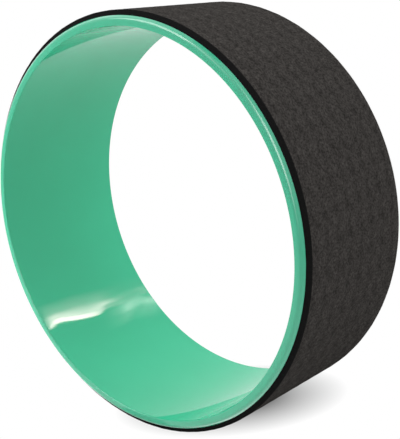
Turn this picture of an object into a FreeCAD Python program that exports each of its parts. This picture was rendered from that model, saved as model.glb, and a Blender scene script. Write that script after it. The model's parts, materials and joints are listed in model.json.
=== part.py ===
import FreeCAD, Part
import math
import os

# Yoga wheel: a rigid moulded plastic ring with a foam pad glued round its outside.
# Millimetres. The origin is the wheel's centre, the wheel's axis runs along Y, and Z is up.

# Core ring, one moulded piece
core_bore_radius = 153.5
core_wall = 7.5
core_width = 124.0
rim_inner_round = 1.0
rim_edge_reach = 2.0  # how far the soft outer edge reaches along the flat of the rim and down the slope
rim_slope_lean = math.radians(60.0)  # between the slope's normal and the wheel's axis
reach_limit_share = 0.55  # the soft edge never takes more of the flat or of the slope than this
round_limit_share = 0.3  # nor the inner round more of the flat

# Foam pad, one strip wrapped round the core, its two ends meeting in a butt seam
pad_thickness = 3.8
rim_exposed = 3.3  # width of bare core left on each side of the pad's foot
pad_side_slant = 2.3  # the strip's cut sides lean in by this much from the foot to the tread
seam_gap = 0.4  # distance between the strip's two ends, along the tread
seam_angle = 180.0  # degrees about the wheel's axis, from +X

# Adhesive under the pad and in its seam
film_thickness = 0.2
film_setback = 0.5  # the adhesive stops this far inside the pad's cut sides
bead_recess = 0.6  # the seam's adhesive stays this far below the tread

# Sizes that follow from those
core_outer_radius = core_bore_radius + core_wall
pad_inner_radius = core_outer_radius + film_thickness
pad_outer_radius = pad_inner_radius + pad_thickness
foot_width = core_width - 2 * rim_exposed
tread_width = foot_width - 2 * pad_side_slant
film_width = foot_width - 2 * film_setback
bead_width = tread_width - 2 * film_setback
bead_outer_radius = pad_outer_radius - bead_recess
slope_rise = rim_exposed / math.tan(rim_slope_lean)
slope_length = rim_exposed / math.sin(rim_slope_lean)
flat_width = core_wall - slope_rise
edge_reach = min(rim_edge_reach, min(flat_width, slope_length) * reach_limit_share)
inner_round = min(rim_inner_round, flat_width * round_limit_share)
seam_sweep = math.degrees(seam_gap / pad_outer_radius)
full_turn = 360.0

centre = FreeCAD.Vector(0, 0, 0)
wheel_axis = FreeCAD.Vector(0, 1, 0)


def section_point(radius, along):
    """A point of a cross-section: its distance from the wheel's axis, and its place along the axis."""
    return FreeCAD.Vector(radius, along, 0)


def eased_corner(corner, before, after, reach, turn):
    """The cubic curve that rounds a corner of the given turn, along an arc with this reach to either side."""
    start = corner + (before - corner).normalize() * reach
    end = corner + (after - corner).normalize() * reach
    pole_share = 4 / 3 * math.tan(turn / 4) / math.tan(turn / 2)
    curve = Part.BezierCurve()
    curve.setPoles([start, start + (corner - start) * pole_share, end + (corner - end) * pole_share, end])
    return curve


def straight(start, end):
    """A straight edge of a cross-section."""
    return Part.LineSegment(start, end).toShape()


def band_section(inner_radius, outer_radius, inner_width, outer_width):
    """The straight-sided cross-section of a band, with its widths inside and outside, as a face."""
    corners = [
        section_point(inner_radius, -inner_width / 2),
        section_point(outer_radius, -outer_width / 2),
        section_point(outer_radius, outer_width / 2),
        section_point(inner_radius, inner_width / 2),
    ]
    return Part.Face(Part.makePolygon(corners + corners[:1]))


def core_section():
    """The moulded ring's cross-section with its rounded inner edges and soft outer slopes, as a face."""
    half = core_width / 2
    slope_start = core_outer_radius - slope_rise
    near_foot = section_point(core_outer_radius, -foot_width / 2)
    far_foot = section_point(core_outer_radius, foot_width / 2)
    near_edge, far_edge = section_point(slope_start, -half), section_point(slope_start, half)
    near_bore, far_bore = section_point(core_bore_radius, -half), section_point(core_bore_radius, half)
    right_angle = math.pi / 2
    near_inner = eased_corner(near_bore, far_bore, near_edge, inner_round, right_angle)
    near_outer = eased_corner(near_edge, near_bore, near_foot, edge_reach, rim_slope_lean)
    far_outer = eased_corner(far_edge, far_foot, far_bore, edge_reach, rim_slope_lean)
    far_inner = eased_corner(far_bore, far_edge, near_bore, inner_round, right_angle)
    edges = [
        near_inner.toShape(),
        straight(near_inner.EndPoint, near_outer.StartPoint),
        near_outer.toShape(),
        straight(near_outer.EndPoint, near_foot),
        straight(near_foot, far_foot),
        straight(far_foot, far_outer.StartPoint),
        far_outer.toShape(),
        straight(far_outer.EndPoint, far_inner.StartPoint),
        far_inner.toShape(),
        straight(far_inner.EndPoint, near_inner.StartPoint),
    ]
    return Part.Face(Part.Wire(edges))


def swept_round_axis(section, start_angle, sweep):
    """The solid that a cross-section makes when it turns about the wheel's axis."""
    placed = section.copy()
    placed.rotate(centre, wheel_axis, start_angle)
    return placed.revolve(centre, wheel_axis, sweep)


def core_ring():
    """The moulded ring, whose inner wall is a plain cylinder between the soft rims."""
    return swept_round_axis(core_section(), seam_angle, full_turn)


def tread_pad():
    """The foam strip, wrapped round the core from one side of the seam to the other."""
    section = band_section(pad_inner_radius, pad_outer_radius, foot_width, tread_width)
    return swept_round_axis(section, seam_angle + seam_sweep / 2, full_turn - seam_sweep)


def pad_adhesive():
    """The film that bonds the foam strip to the core."""
    section = band_section(core_outer_radius, pad_inner_radius, film_width, film_width)
    return swept_round_axis(section, seam_angle, full_turn)


def seam_adhesive():
    """The thin bead that joins the strip's two ends."""
    section = band_section(pad_inner_radius, bead_outer_radius, bead_width, bead_width)
    return swept_round_axis(section, seam_angle - seam_sweep / 2, seam_sweep)


pieces = {
    "core_ring": core_ring(),
    "tread_pad": tread_pad(),
    "pad_adhesive": pad_adhesive(),
    "seam_adhesive": seam_adhesive(),
}
os.makedirs("parts", exist_ok=True)
for name, shape in pieces.items():
    shape.exportStep(f"parts/{name}.step")
    print(name, "valid", shape.isValid(), "solids", len(shape.Solids), "mm3", round(shape.Volume, 1))
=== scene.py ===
import json
import math
from typing import NamedTuple

import bpy
import numpy as np
from mathutils import Matrix, Vector


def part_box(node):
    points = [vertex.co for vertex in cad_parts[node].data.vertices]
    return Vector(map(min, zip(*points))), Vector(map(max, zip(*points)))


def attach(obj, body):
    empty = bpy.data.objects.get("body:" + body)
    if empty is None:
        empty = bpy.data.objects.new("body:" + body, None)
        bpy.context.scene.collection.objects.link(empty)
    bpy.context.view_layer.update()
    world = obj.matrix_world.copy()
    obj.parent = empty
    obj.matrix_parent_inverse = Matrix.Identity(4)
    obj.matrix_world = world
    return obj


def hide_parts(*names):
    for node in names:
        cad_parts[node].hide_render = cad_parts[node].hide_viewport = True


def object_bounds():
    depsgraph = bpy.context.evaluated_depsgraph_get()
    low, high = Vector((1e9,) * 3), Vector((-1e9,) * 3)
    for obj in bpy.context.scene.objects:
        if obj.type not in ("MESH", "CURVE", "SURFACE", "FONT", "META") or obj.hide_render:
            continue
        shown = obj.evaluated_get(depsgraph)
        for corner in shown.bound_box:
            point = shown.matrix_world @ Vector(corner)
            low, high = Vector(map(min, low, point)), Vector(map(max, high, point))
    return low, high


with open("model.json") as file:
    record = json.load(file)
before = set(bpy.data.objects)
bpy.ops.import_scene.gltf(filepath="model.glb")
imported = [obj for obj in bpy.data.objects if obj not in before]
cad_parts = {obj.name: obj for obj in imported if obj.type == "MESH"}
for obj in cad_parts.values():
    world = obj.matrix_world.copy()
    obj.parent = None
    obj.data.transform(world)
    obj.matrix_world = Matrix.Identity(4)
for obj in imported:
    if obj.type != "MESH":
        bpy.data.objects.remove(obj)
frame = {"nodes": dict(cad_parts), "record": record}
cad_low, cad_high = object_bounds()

# Yoga wheel: a glossy green moulded ring with a black embossed foam pad glued round it.
# Metres. The wheel's centre is the origin, its axis runs along Y, and it stands on its tread.

millimetre = 0.001

# Sizes read from the frame
core_low, core_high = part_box("core_ring")
pad_low, pad_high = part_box("tread_pad")
film_low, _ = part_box("pad_adhesive")
_, bead_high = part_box("seam_adhesive")
mounts = {mount["name"]: mount for mount in frame["record"]["mounts"]}
bore_radius = mounts["inner_wall"]["dims"]["r_mm"] * millimetre
bore_length = mounts["inner_wall"]["dims"]["length_mm"] * millimetre
core_outer_radius = -core_low.x
core_half_width = core_high.y
rim_inner_round = core_half_width - bore_length / 2
pad_inner_radius = -film_low.x
pad_outer_radius = -pad_low.x
pad_foot_half_width = pad_high.y
seam_half_gap = bead_high.z
floor_height = cad_low.z

# The strip's slanted sides, and the slope from the soft edge of each rim out to the strip, as in the part
pad_side_slant = 2.3 * millimetre  # how far the cut sides lean in from the foot to the tread
pad_half_width = pad_foot_half_width - pad_side_slant
rim_edge_reach = 2.0 * millimetre  # of the soft edge, along the flat of the rim and down the slope
rim_slope_lean = math.radians(60)  # between the slope's normal and the wheel's axis

# Camera, found from the outlines of the rims and the tread in the photograph, which is a crop
photo_width_px = 400
photo_height_px = 439
focal_length_px = 966.59
optical_axis_px = 38.66  # to the right of the picture's middle
view_azimuth = math.radians(39.10)
view_elevation = math.radians(16.31)
view_distance = 0.78522
view_right_offset = 0.04322
view_up_offset = -0.00542

# Mesh densities and creases
ring_segments = 384
rim_arc_segments = 7
wall_segments = 24
run_hold = 0.15 * millimetre  # the shading of a straight run starts to turn only this close to its ends
tread_rows = 960
tread_columns = 97
core_crease = math.radians(25)  # edges sharper than this stay crisp
tread_crease = math.radians(60)

# Embossed tread: dents and bosses that repeat along the strip and across it, on a slightly leaning grid
row_step_along = 19.78 * millimetre
row_step_across = 0.50 * millimetre
lane_step_along = 1.02 * millimetre
lane_step_across = 14.19 * millimetre
relief_depth = 0.24 * millimetre


class Form(NamedTuple):
    """A dent or boss of the tread: its place in the repeat, half sizes, lean, and height from -1 to 1."""
    across_mm: float
    along_mm: float
    half_length_mm: float
    half_width_mm: float
    lean_degrees: float
    height: float


tread_forms = (
    Form(4.3, 19.0, 3.5, 2.1, 82, -1.0),
    Form(4.4, 7.4, 4.8, 1.4, 58, -0.62),
    Form(9.0, 13.6, 2.1, 1.7, 30, -0.36),
    Form(7.9, 5.8, 3.3, 1.6, 38, 0.95),
    Form(12.1, 4.3, 2.2, 1.7, 60, 0.62),
    Form(7.6, 9.2, 1.6, 1.3, 0, 0.45),
    Form(10.1, 0.6, 1.8, 1.3, 0, 0.66),
    Form(14.3, 10.7, 1.9, 1.6, 90, 0.60),
    Form(14.9, 14.0, 3.0, 1.2, 0, 0.72),
    Form(12.4, 17.8, 2.0, 1.6, 0, 0.25),
)

# Soft light: a sky that grows brighter toward its lean, a key and a small fill
sky_strength = 1.85
sky_lean = sky_strength * Vector((0.3, 1.0, 0.9))
key_place = (-1.1, -1.1, 1.6)
key_power = 27.0
key_side = 1.2
fill_place = (-0.35, -0.4, -0.1)
fill_power = 1.0
fill_side = 0.12

# Floor, with a painted shadow beside the contact line: dark paper there, which also takes the real shade
floor_reach = 6.0
floor_grey = 0.72  # where it lights the wheel
# Painted shadow: the paper's grey inside the ellipse, as the camera sees it, still shaded by the real light
painted_shadow_grey = 0.08  # where the shadow is seen
shadow_centre = (0.0319, 0.0232)
shadow_reach = (0.0631, 0.1032)
shadow_turn = math.radians(-31.8)
shadow_core_share = 0.2  # of the reach, before the shadow starts to fade

# Light tent on the near side, for gloss alone: (radius, height above the floor, glow), from the top down
tent_hem = 0.001  # just clear of the floor
tent_outline = (
    (0.3, 2.2, 1.0),
    (1.3, 1.8, 1.0),
    (2.0, 1.0, 1.0),
    (2.0, tent_hem, 0.4),
    (1.2, tent_hem, 0.3),
    (0.6, tent_hem, 0.5),
    (0.3, tent_hem, 1.0),
    (0.08, tent_hem, 1.1),
)
tent_start = math.radians(150)
tent_end = math.radians(380)
tent_lines = 12
plain_tint = (1.0, 1.0, 1.0)

# Strips of light mirrored in the rim's soft edge: azimuth and elevation in degrees, and glow
glint_paths = (
    ((-30, 66, 0), (-40, 50, 6), (-51, 31, 12), (-62, 16, 8), (-71, 5, 0)),
    ((-132, 48, 2), (-118, 44, 4), (-106, 36, 2.5), (-96, 26, 0)),
)
glint_half_width = 27  # degrees, from the bright middle to either dark border
glint_distance = 1.6
glint_aim = Vector((0.13, -0.06, 0.09))

# Cards behind the wheel, mirrored in the inner wall: their middle and the two directions of their plane
card_centre = Vector((0.436, 0.891, 0.949))
card_across = Vector((-0.279, 0.793, -0.542)).normalized()
card_rise = Vector((-0.889, 0, 0.458)).normalized()

bar_softness_mm = 9
bar_band_mm = 44  # of the brightest part, from the edge down to a thin dark seam
bar_seam_mm = 8
bar_seam_glow_share = 0.62
bar_shelf_end_glow_share = 0.8
bar_tail_glow_share = 0.24
bar_fade_mm = 150
bar_tint = (1.0, 0.74, 0.75)


class Bar(NamedTuple):
    """One line down the bar card: its place across, its edge, the ends of shelf and tail, and two glows."""
    across_mm: float
    edge_mm: float
    shelf_end_mm: float
    tail_mm: float
    edge_glow: float
    shelf_glow: float


bar_lines = (
    Bar(-90, 30, -85, -135, 0, 0),
    Bar(-80, 30, -85, -135, 3, 3.5),
    Bar(-73, 34, -85, -140, 20, 13),
    Bar(-62, -8, -100, -138, 26, 16.5),
    Bar(-45, -7, -95, -135, 26, 16),
    Bar(-30, 17, -70, -122, 26, 16),
    Bar(-15, 34, -50, -122, 25, 15.5),
    Bar(0, 48, -35, -122, 24, 15),
    Bar(15, 60, -25, -118, 22, 13),
    Bar(30, 77, -22, -105, 20, 13),
    Bar(45, 84, -22, -88, 14, 14),
    Bar(58, 42, -26, -75, 8, 15.5),
    Bar(73, 44, -24, -65, 4, 9.5),
    Bar(90, 60, -15, -60, 3, 4.4),
    Bar(110, 60, -30, -80, 2.2, 2.6),
    Bar(135, 50, -40, -90, 1.3, 1.6),
    Bar(150, 24, -50, -70, 2.0, 2.8),
    Bar(165, 46, -30, -50, 2.8, 2.6),
    Bar(180, 60, -30, -60, 1.2, 1.2),
    Bar(205, 60, -40, -90, 0, 0),
)


class Ripple(NamedTuple):
    """One line down the ripple card: its place across, the bright part's two ends, and its glow."""
    across_mm: float
    top_mm: float
    bottom_mm: float
    glow: float


ripple_knee_mm = 45  # above the bright part, where a slower fade begins
ripple_knee_glow_share = 0.4
ripple_softness_mm = 190
ripple_fade_mm = 70
ripple_tint = (1.0, 0.97, 0.93)
ripple_lines = (
    Ripple(55, 120, 80, 0),
    Ripple(75, 130, 85, 0.7),
    Ripple(95, 140, 90, 2.0),
    Ripple(108, 140, 85, 4.0),
    Ripple(121, 140, 95, 6.2),
    Ripple(135, 140, 75, 4.4),
    Ripple(150, 110, 70, 3.8),
    Ripple(160, 130, 115, 4.8),
    Ripple(168, 140, 125, 5.7),
    Ripple(180, 150, 140, 5.4),
    Ripple(192, 180, 160, 4.6),
    Ripple(210, 200, 180, 3.0),
    Ripple(240, 230, 200, 0),
)


def from_nearest(steps):
    """How far a count of steps is from the nearest whole one."""
    return steps - np.round(steps)


def tread_height(arc, across):
    """The tread's height from -1 to 1, at a length along the strip from its middle and a place across."""
    cell_area = row_step_along * lane_step_across - lane_step_along * row_step_across
    row = (arc * lane_step_across - across * lane_step_along) / cell_area
    lane = (across * row_step_along - arc * row_step_across) / cell_area
    row_step_mm = row_step_along / millimetre
    lane_step_mm = lane_step_across / millimetre
    height = np.zeros(np.broadcast(arc, across).shape)
    for form in tread_forms:
        along_mm = from_nearest(row - form.along_mm / row_step_mm) * row_step_mm
        across_mm = from_nearest(lane - form.across_mm / lane_step_mm) * lane_step_mm
        lean = math.radians(form.lean_degrees)
        lengthwise = (across_mm * math.cos(lean) + along_mm * math.sin(lean)) / form.half_length_mm
        sideways = (along_mm * math.cos(lean) - across_mm * math.sin(lean)) / form.half_width_mm
        height = height + form.height * np.exp(-lengthwise ** 2 - sideways ** 2)
    return np.clip(height, -1, 1)


def add_mesh(name, points, faces, sharp_angle):
    """A smooth-shaded mesh object whose edges sharper than an angle stay crisp."""
    mesh = bpy.data.meshes.new(name)
    mesh.from_pydata(points, [], faces)
    mesh.shade_smooth()
    mesh.set_sharp_from_angle(angle=sharp_angle)
    piece = bpy.data.objects.new(name, mesh)
    bpy.context.scene.collection.objects.link(piece)
    return piece


def turned_faces(rows, columns, closed):
    """Quads between neighbouring rows of a turned surface whose section is a closed loop of columns."""
    start = np.arange(rows if closed else rows - 1)[:, None]
    column = np.arange(columns)[None, :]
    following = (start + 1) % rows
    after = (column + 1) % columns
    row, next_row = start * columns, following * columns
    quads = [row + column, row + after, next_row + after, next_row + column]
    return np.stack(np.broadcast_arrays(*quads), -1).reshape(-1, 4).tolist()


def rim_arc(radius, along, reach, start_angle, turn):
    """Points of an arc about a place in the ring's section, anticlockwise from an angle."""
    angles = start_angle + np.linspace(0, turn, rim_arc_segments + 1)
    return np.stack([radius + reach * np.cos(angles), along + reach * np.sin(angles)], -1)


def straight_run(start, end, segments):
    """Points strictly between two points of a section, with one close to either end."""
    hold_share = run_hold / np.linalg.norm(end - start)
    shares = np.concatenate([[hold_share], np.linspace(0, 1, segments + 1)[1:-1], [1 - hold_share]])
    return start + (end - start) * shares[:, None]


def core_section():
    """The ring's closed section as (radius, along) points, with soft rims and a divided inner wall."""
    inner_radius = bore_radius + rim_inner_round
    inner_along = core_half_width - rim_inner_round
    slope_rise = (core_half_width - pad_foot_half_width) / math.tan(rim_slope_lean)
    edge_round = rim_edge_reach / math.tan(rim_slope_lean / 2)
    edge_radius = core_outer_radius - slope_rise - rim_edge_reach
    edge_along = core_half_width - edge_round
    inner_near = rim_arc(inner_radius, -inner_along, rim_inner_round, math.pi, math.pi / 2)
    edge_near = rim_arc(edge_radius, -edge_along, edge_round, -math.pi / 2, rim_slope_lean)
    edge_far = rim_arc(edge_radius, edge_along, edge_round, math.pi / 2 - rim_slope_lean, rim_slope_lean)
    inner_far = rim_arc(inner_radius, inner_along, rim_inner_round, math.pi / 2, math.pi / 2)
    foot_near = np.array([[core_outer_radius, -pad_foot_half_width]])
    foot_far = np.array([[core_outer_radius, pad_foot_half_width]])
    flat_near = straight_run(inner_near[-1], edge_near[0], 1)
    slope_near = straight_run(edge_near[-1], foot_near[0], 1)
    outer_wall = straight_run(foot_near[0], foot_far[0], wall_segments)
    slope_far = straight_run(foot_far[0], edge_far[0], 1)
    flat_far = straight_run(edge_far[-1], inner_far[0], 1)
    inner_wall = straight_run(inner_far[-1], inner_near[0], wall_segments)
    near_rim = [inner_near, flat_near, edge_near, slope_near, foot_near]
    far_rim = [foot_far, slope_far, edge_far, flat_far, inner_far]
    return np.concatenate([*near_rim, outer_wall, *far_rim, inner_wall])


def core_piece():
    """The moulded ring, finely divided so that its gloss is even."""
    section = core_section()
    angles = np.linspace(0, 2 * math.pi, ring_segments, endpoint=False)[:, None]
    radius, along = section[:, 0][None, :], section[:, 1][None, :]
    points = np.stack(np.broadcast_arrays(radius * np.cos(angles), along, radius * np.sin(angles)), -1)
    faces = turned_faces(ring_segments, len(section), closed=True)
    return add_mesh("core_moulding", points.reshape(-1, 3).tolist(), faces, core_crease)


def tread_piece():
    """The foam strip with its embossed tread, from one side of the seam round to the other."""
    across = np.linspace(-pad_half_width, pad_half_width, tread_columns)[None, :]
    seam_angle = seam_half_gap / pad_outer_radius
    angles = np.linspace(seam_angle - math.pi, math.pi - seam_angle, tread_rows)[:, None]
    crown = (1 + tread_height(angles * pad_outer_radius, across)) / 2
    tread_radius = pad_outer_radius - relief_depth * (1 - crown)
    back_along = np.array([[pad_foot_half_width, -pad_foot_half_width]])
    back_radius = np.full((tread_rows, back_along.size), pad_inner_radius)
    radius = np.concatenate([tread_radius, back_radius], 1)
    along = np.concatenate([across, back_along], 1)
    points = np.stack(np.broadcast_arrays(radius * np.cos(angles), along, radius * np.sin(angles)), -1)
    loop = along.size
    faces = turned_faces(tread_rows, loop, closed=False)
    is_cut = [index % loop >= tread_columns - 1 for index in range(len(faces))]
    last = (tread_rows - 1) * loop
    seam_faces = [list(range(loop))[::-1], list(range(last, last + loop))]
    is_cut += [True] * len(seam_faces)
    piece = add_mesh("tread_mat", points.reshape(-1, 3).tolist(), faces + seam_faces, tread_crease)
    piece.data.materials.append(tread_foam())
    piece.data.materials.append(cut_foam())
    piece.data.polygons.foreach_set("material_index", [int(cut) for cut in is_cut])
    crown = np.concatenate([crown, np.ones_like(back_radius)], 1)
    piece.data.attributes.new("crown", "FLOAT", "POINT").data.foreach_set("value", crown.ravel())
    return piece


class Shader:
    """A node material with one principled shader, and short ways to add and join nodes."""

    def __init__(self, name):
        self.material = bpy.data.materials.new(name)
        self.material.use_nodes = True
        self.nodes = self.material.node_tree.nodes
        self.links = self.material.node_tree.links
        self.principled = self.nodes["Principled BSDF"]

    def node(self, kind, **settings):
        """A new node with the given settings."""
        made = self.nodes.new(kind)
        for key, value in settings.items():
            setattr(made, key, value)
        return made

    def place(self):
        """Where a point lies in the piece's own coordinates."""
        return self.node("ShaderNodeTexCoord").outputs["Object"]

    def noise(self, place, scale, detail=4.0, roughness=0.5):
        """Cloudy noise between 0 and 1."""
        made = self.node("ShaderNodeTexNoise")
        made.inputs["Scale"].default_value = scale
        made.inputs["Detail"].default_value = detail
        made.inputs["Roughness"].default_value = roughness
        self.links.new(place, made.inputs["Vector"])
        return made.outputs["Fac"]

    def ramp(self, value, low, high):
        """A value between 0 and 1, moved to lie between low and high."""
        made = self.node("ShaderNodeMapRange")
        made.inputs["To Min"].default_value = low
        made.inputs["To Max"].default_value = high
        self.links.new(value, made.inputs["Value"])
        return made.outputs["Result"]

    def colours(self, value, dark, light, start=0.3, end=0.7):
        """A colour that goes from dark to light as the value goes from start to end."""
        made = self.node("ShaderNodeValToRGB")
        first, last = made.color_ramp.elements
        first.position, last.position = start, end
        first.color, last.color = (*dark, 1), (*light, 1)
        self.links.new(value, made.inputs["Fac"])
        return made.outputs["Color"]

    def shaded(self, colour, share):
        """A colour times a share of its brightness."""
        made = self.node("ShaderNodeVectorMath", operation="SCALE")
        self.links.new(colour, made.inputs["Vector"])
        self.links.new(share, made.inputs["Scale"])
        return made.outputs["Vector"]

    def bump(self, height, distance, strength, below=None):
        """A normal that follows a height, on top of another bump where one is given."""
        made = self.node("ShaderNodeBump")
        made.inputs["Distance"].default_value = distance
        made.inputs["Strength"].default_value = strength
        self.links.new(height, made.inputs["Height"])
        if below is not None:
            self.links.new(below, made.inputs["Normal"])
        return made.outputs["Normal"]

    def join(self, output, socket):
        """Feeds an output to a socket of the principled shader."""
        self.links.new(output, self.principled.inputs[socket])

    def set(self, **values):
        """Sets sockets of the principled shader, with underscores for the spaces in their names."""
        for socket, value in values.items():
            self.principled.inputs[socket.replace("_", " ")].default_value = value


def core_plastic():
    """Glossy sea-green ABS with faint moulding waves, flow shading and fine handling marks."""
    shader = Shader("core_plastic")
    place = shader.place()
    flow = shader.noise(place, scale=9.0, detail=3.0)
    green = shader.colours(flow, dark=(0.021, 0.400, 0.222), light=(0.027, 0.432, 0.245))
    shader.join(green, "Base Color")
    smudges = shader.noise(place, scale=34.0, detail=6.0, roughness=0.6)
    shader.join(shader.ramp(smudges, low=0.02, high=0.06), "Roughness")
    swell = shader.noise(place, scale=22.0, detail=1.0)
    waves = shader.bump(swell, distance=0.4 * millimetre, strength=0.2)
    marks = shader.noise(place, scale=900.0, detail=2.0)
    shader.join(shader.bump(marks, distance=0.02 * millimetre, strength=0.1, below=waves), "Normal")
    shader.set(IOR=1.48)
    return shader.material


def tread_foam():
    """Matt black TPE skin: a warm dark grey with fine mottling and grain, and painted shade that darkens
    the dents and lightens the bosses.
    """
    shader = Shader("tread_foam")
    place = shader.place()
    mottle = shader.noise(place, scale=620.0, detail=4.0, roughness=0.7)
    dark, light = (0.0187, 0.0173, 0.0163), (0.0505, 0.0468, 0.0440)
    skin = shader.colours(mottle, dark, light, start=0.38, end=0.62)
    crown = shader.node("ShaderNodeAttribute", attribute_name="crown")
    # Painted light and shade: the colour is scaled down in the dents and up on the bosses of the emboss
    painted_relief_shade = shader.ramp(crown.outputs["Fac"], low=0.73, high=1.27)
    shader.join(shader.shaded(skin, painted_relief_shade), "Base Color")
    wear = shader.noise(place, scale=420.0, detail=3.0)
    shader.join(shader.ramp(wear, low=0.72, high=0.92), "Roughness")
    grain = shader.noise(place, scale=700.0, detail=4.0, roughness=0.7)
    shader.join(shader.bump(grain, distance=0.25 * millimetre, strength=0.5), "Normal")
    shader.set(Specular_IOR_Level=0.0)
    return shader.material


def cut_foam():
    """The strip's cut sides: smooth closed-cell foam, darker than the tread."""
    shader = Shader("cut_foam")
    place = shader.place()
    cells = shader.noise(place, scale=1400.0, detail=3.0, roughness=0.6)
    black = shader.colours(cells, dark=(0.007, 0.007, 0.007), light=(0.013, 0.013, 0.013))
    shader.join(black, "Base Color")
    shader.join(shader.ramp(cells, low=0.55, high=0.75), "Roughness")
    shader.join(shader.bump(cells, distance=0.08 * millimetre, strength=0.3), "Normal")
    shader.set(Specular_IOR_Level=0.0)
    return shader.material


def dried_adhesive():
    """Dark contact adhesive with brush streaks."""
    shader = Shader("dried_adhesive")
    streaks = shader.noise(shader.place(), scale=260.0, detail=4.0)
    brown = shader.colours(streaks, dark=(0.020, 0.017, 0.014), light=(0.045, 0.040, 0.034))
    shader.join(brown, "Base Color")
    shader.join(shader.ramp(streaks, low=0.4, high=0.65), "Roughness")
    return shader.material


def clad(node_name, material):
    """Gives a CAD node that stays in view its finish."""
    materials = frame["nodes"][node_name].data.materials
    materials.clear()
    materials.append(material)


def view_axes():
    """The camera's right, up and back directions."""
    flat = math.cos(view_elevation)
    back = Vector((math.sin(view_azimuth) * flat, -math.cos(view_azimuth) * flat, math.sin(view_elevation)))
    right = Vector((math.cos(view_azimuth), math.sin(view_azimuth), 0))
    return right, back.cross(right), back


def add_camera():
    """The photograph's camera."""
    right, up, back = view_axes()
    data = bpy.data.cameras.new("camera")
    longer_side_px = max(photo_width_px, photo_height_px)
    data.lens = focal_length_px / longer_side_px * data.sensor_width
    data.shift_x = -optical_axis_px / longer_side_px
    camera = bpy.data.objects.new("camera", data)
    place = back * view_distance + right * view_right_offset + up * view_up_offset
    turn = Matrix((right, up, back)).transposed().to_4x4()
    camera.matrix_world = Matrix.Translation(place) @ turn
    bpy.context.scene.collection.objects.link(camera)
    bpy.context.scene.camera = camera


def seen_directly(nodes, links):
    """1 for rays that show the background: straight from the camera, off gloss or through glass."""
    path = nodes.new("ShaderNodeLightPath")
    total = path.outputs["Is Camera Ray"]
    for name in ("Is Glossy Ray", "Is Transmission Ray"):
        either = nodes.new("ShaderNodeMath")
        either.operation = "MAXIMUM"
        links.new(total, either.inputs[0])
        links.new(path.outputs[name], either.inputs[1])
        total = either.outputs[0]
    return total


def add_world():
    """A white background, and a soft sky that lights the wheel from above and behind."""
    world = bpy.data.worlds.new("studio")
    bpy.context.scene.world = world
    world.use_nodes = True
    nodes, links = world.node_tree.nodes, world.node_tree.links
    direction = nodes.new("ShaderNodeTexCoord")
    facing = nodes.new("ShaderNodeVectorMath")
    facing.operation = "DOT_PRODUCT"
    facing.inputs[1].default_value = sky_lean
    links.new(direction.outputs["Generated"], facing.inputs[0])
    sky = nodes.new("ShaderNodeMath")
    sky.operation = "MAXIMUM"
    sky.inputs[1].default_value = 0.0
    links.new(facing.outputs["Value"], sky.inputs[0])
    strength = nodes.new("ShaderNodeMapRange")
    links.new(sky.outputs[0], strength.inputs["To Min"])
    strength.inputs["To Max"].default_value = 1.0
    links.new(seen_directly(nodes, links), strength.inputs["Value"])
    background = nodes["Background"]
    background.inputs["Color"].default_value = (1, 1, 1, 1)
    links.new(strength.outputs["Result"], background.inputs["Strength"])


def floor_paper():
    """White paper with a painted shadow beside the wheel: dark grey paper, shaded by the real light, that
    fades out to white.
    """
    material = bpy.data.materials.new("floor")
    material.use_nodes = True
    nodes, links = material.node_tree.nodes, material.node_tree.links
    nodes.remove(nodes["Principled BSDF"])
    seen = seen_directly(nodes, links)
    grey = nodes.new("ShaderNodeMapRange")
    grey.inputs["To Min"].default_value = floor_grey
    grey.inputs["To Max"].default_value = painted_shadow_grey
    links.new(seen, grey.inputs["Value"])
    paper = nodes.new("ShaderNodeBsdfDiffuse")
    links.new(grey.outputs["Result"], paper.inputs["Color"])
    white = nodes.new("ShaderNodeEmission")
    place = nodes.new("ShaderNodeTexCoord")
    scaled = nodes.new("ShaderNodeMapping")
    scaled.vector_type = "TEXTURE"
    scaled.inputs["Location"].default_value = (*shadow_centre, floor_height)
    scaled.inputs["Rotation"].default_value = (0, 0, shadow_turn)
    scaled.inputs["Scale"].default_value = (*shadow_reach, 1)
    links.new(place.outputs["Object"], scaled.inputs["Vector"])
    distance = nodes.new("ShaderNodeVectorMath")
    distance.operation = "LENGTH"
    links.new(scaled.outputs["Vector"], distance.inputs[0])
    # Painted shadow: an ellipse by the contact line where the dark paper shows, fading out to white
    fade = nodes.new("ShaderNodeMapRange")
    fade.inputs["From Min"].default_value = shadow_core_share
    links.new(distance.outputs["Value"], fade.inputs["Value"])
    lift = nodes.new("ShaderNodeMath")
    lift.operation = "MULTIPLY"
    links.new(fade.outputs["Result"], lift.inputs[0])
    links.new(seen, lift.inputs[1])
    mix = nodes.new("ShaderNodeMixShader")
    links.new(lift.outputs[0], mix.inputs[0])
    links.new(paper.outputs[0], mix.inputs[1])
    links.new(white.outputs[0], mix.inputs[2])
    links.new(mix.outputs[0], nodes["Material Output"].inputs["Surface"])
    return material


def add_floor():
    """A wide floor under the wheel."""
    mesh = bpy.data.meshes.new("floor")
    corners = [(-1, -1), (1, -1), (1, 1), (-1, 1)]
    points = [(x * floor_reach, y * floor_reach, floor_height) for x, y in corners]
    mesh.from_pydata(points, [], [(0, 1, 2, 3)])
    mesh.materials.append(floor_paper())
    floor = bpy.data.objects.new("floor", mesh)
    bpy.context.scene.collection.objects.link(floor)


def add_lamp(name, place, side, power, in_gloss):
    """A square softbox that faces the wheel, mirrored in its gloss or not."""
    data = bpy.data.lights.new(name, "AREA")
    data.size = side
    data.energy = power
    lamp = bpy.data.objects.new(name, data)
    lamp.location = place
    lamp.rotation_mode = "QUATERNION"
    lamp.rotation_quaternion = (-Vector(place)).to_track_quat("-Z", "Y")
    lamp.visible_glossy = in_gloss
    bpy.context.scene.collection.objects.link(lamp)


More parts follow.
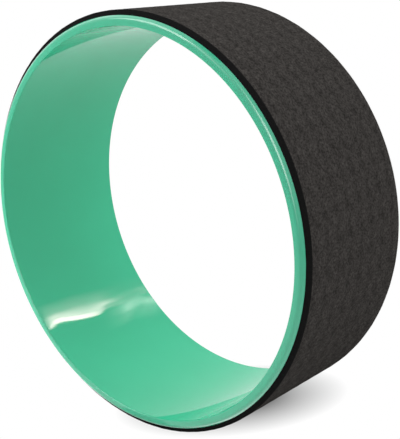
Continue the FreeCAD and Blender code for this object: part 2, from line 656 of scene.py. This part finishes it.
def card_glow(tint):
    """Light of the strength written at the card's points, added to what lies behind the card."""
    material = bpy.data.materials.new("card_glow")
    material.use_nodes = True
    nodes, links = material.node_tree.nodes, material.node_tree.links
    nodes.remove(nodes["Principled BSDF"])
    emission = nodes.new("ShaderNodeEmission")
    emission.inputs["Color"].default_value = (*tint, 1)
    strength = nodes.new("ShaderNodeAttribute")
    strength.attribute_name = "glow"
    links.new(strength.outputs["Fac"], emission.inputs["Strength"])
    clear = nodes.new("ShaderNodeBsdfTransparent")
    both = nodes.new("ShaderNodeAddShader")
    links.new(clear.outputs[0], both.inputs[0])
    links.new(emission.outputs[0], both.inputs[1])
    links.new(both.outputs[0], nodes["Material Output"].inputs["Surface"])
    return material


def add_card(name, lines, tint):
    """A sheet that only gloss shows, through lines of (point, glow) pairs."""
    points = [point for line in lines for point, glow in line]
    glows = [glow for line in lines for point, glow in line]
    rows = len(lines[0])
    faces = []
    for line in range(len(lines) - 1):
        for row in range(rows - 1):
            first = line * rows + row
            faces.append((first, first + 1, first + rows + 1, first + rows))
    card = add_mesh(name, points, faces, math.pi)
    card.data.attributes.new("glow", "FLOAT", "POINT").data.foreach_set("value", glows)
    card.data.materials.append(card_glow(tint))
    card.visible_camera = False
    card.visible_diffuse = False
    card.visible_shadow = False


def card_line(across_mm, rows):
    """A line down a card behind the wheel, through rows of (rise, glow) pairs."""
    start = card_centre + card_across * across_mm * millimetre
    return [(start + card_rise * rise_mm * millimetre, glow) for rise_mm, glow in rows]


def bar_line(bar):
    """A line down the bar card: brightest below its edge, then a seam, a shelf and a long fading tail."""
    band_end_mm = bar.edge_mm - bar_band_mm
    seam_end_mm = band_end_mm - 2 * bar_seam_mm
    rows = [
        (bar.edge_mm + bar_softness_mm, 0),
        (bar.edge_mm, bar.edge_glow),
        (band_end_mm, bar.edge_glow),
        (band_end_mm - bar_seam_mm, bar.shelf_glow * bar_seam_glow_share),
        (seam_end_mm, bar.shelf_glow),
        (min(bar.shelf_end_mm, seam_end_mm - bar_seam_mm), bar.shelf_glow * bar_shelf_end_glow_share),
        (bar.tail_mm, bar.shelf_glow * bar_tail_glow_share),
        (bar.tail_mm - bar_fade_mm, 0),
    ]
    return card_line(bar.across_mm, rows)


def ripple_line(ripple):
    """A line down the ripple card: a bright part that fades away above and below."""
    rows = [
        (ripple.top_mm + ripple_softness_mm, 0),
        (ripple.top_mm + ripple_knee_mm, ripple.glow * ripple_knee_glow_share),
        (ripple.top_mm, ripple.glow),
        (ripple.bottom_mm, ripple.glow),
        (ripple.bottom_mm - ripple_fade_mm, 0),
    ]
    return card_line(ripple.across_mm, rows)


def tent_line(azimuth):
    """A line down the light tent at an angle round the wheel's upright axis."""
    line = []
    for radius, height, glow in tent_outline:
        place = (radius * math.cos(azimuth), radius * math.sin(azimuth), floor_height + height)
        line.append((place, glow))
    return line


def glint_lines(path):
    """A strip of light along a path of directions, brightest along its middle."""
    run = Vector(path[-1][:2]) - Vector(path[0][:2])
    aside = Vector((-run.y, run.x)).normalized() * glint_half_width
    lines = []
    for side in (-1, 0, 1):
        line = []
        for azimuth, elevation, glow in path:
            round_turn = math.radians(azimuth + side * aside.x)
            rise = math.radians(elevation + side * aside.y)
            flat = Vector((math.cos(round_turn), math.sin(round_turn), 0)) * math.cos(rise)
            toward = flat + Vector((0, 0, math.sin(rise)))
            line.append((glint_aim + toward * glint_distance, glow * (1 - abs(side))))
        lines.append(line)
    return lines


core = core_piece()
core.data.materials.append(core_plastic())
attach(core, "root")
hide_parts("core_ring")

tread = tread_piece()
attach(tread, "root")
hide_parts("tread_pad")

adhesive = dried_adhesive()
for hidden_node in ("pad_adhesive", "seam_adhesive"):
    clad(hidden_node, adhesive)

add_camera()
add_world()
add_floor()
add_lamp("key", key_place, key_side, key_power, in_gloss=True)
add_lamp("fill", fill_place, fill_side, fill_power, in_gloss=False)
add_card("bar_card", [bar_line(bar) for bar in bar_lines], bar_tint)
add_card("ripple_card", [ripple_line(ripple) for ripple in ripple_lines], ripple_tint)
for glint_path in glint_paths:
    add_card("glint", glint_lines(glint_path), plain_tint)
tent_azimuths = np.linspace(tent_start, tent_end, tent_lines)
add_card("tent", [tent_line(azimuth) for azimuth in tent_azimuths], plain_tint)
bpy.context.scene.view_settings.view_transform = "Standard"
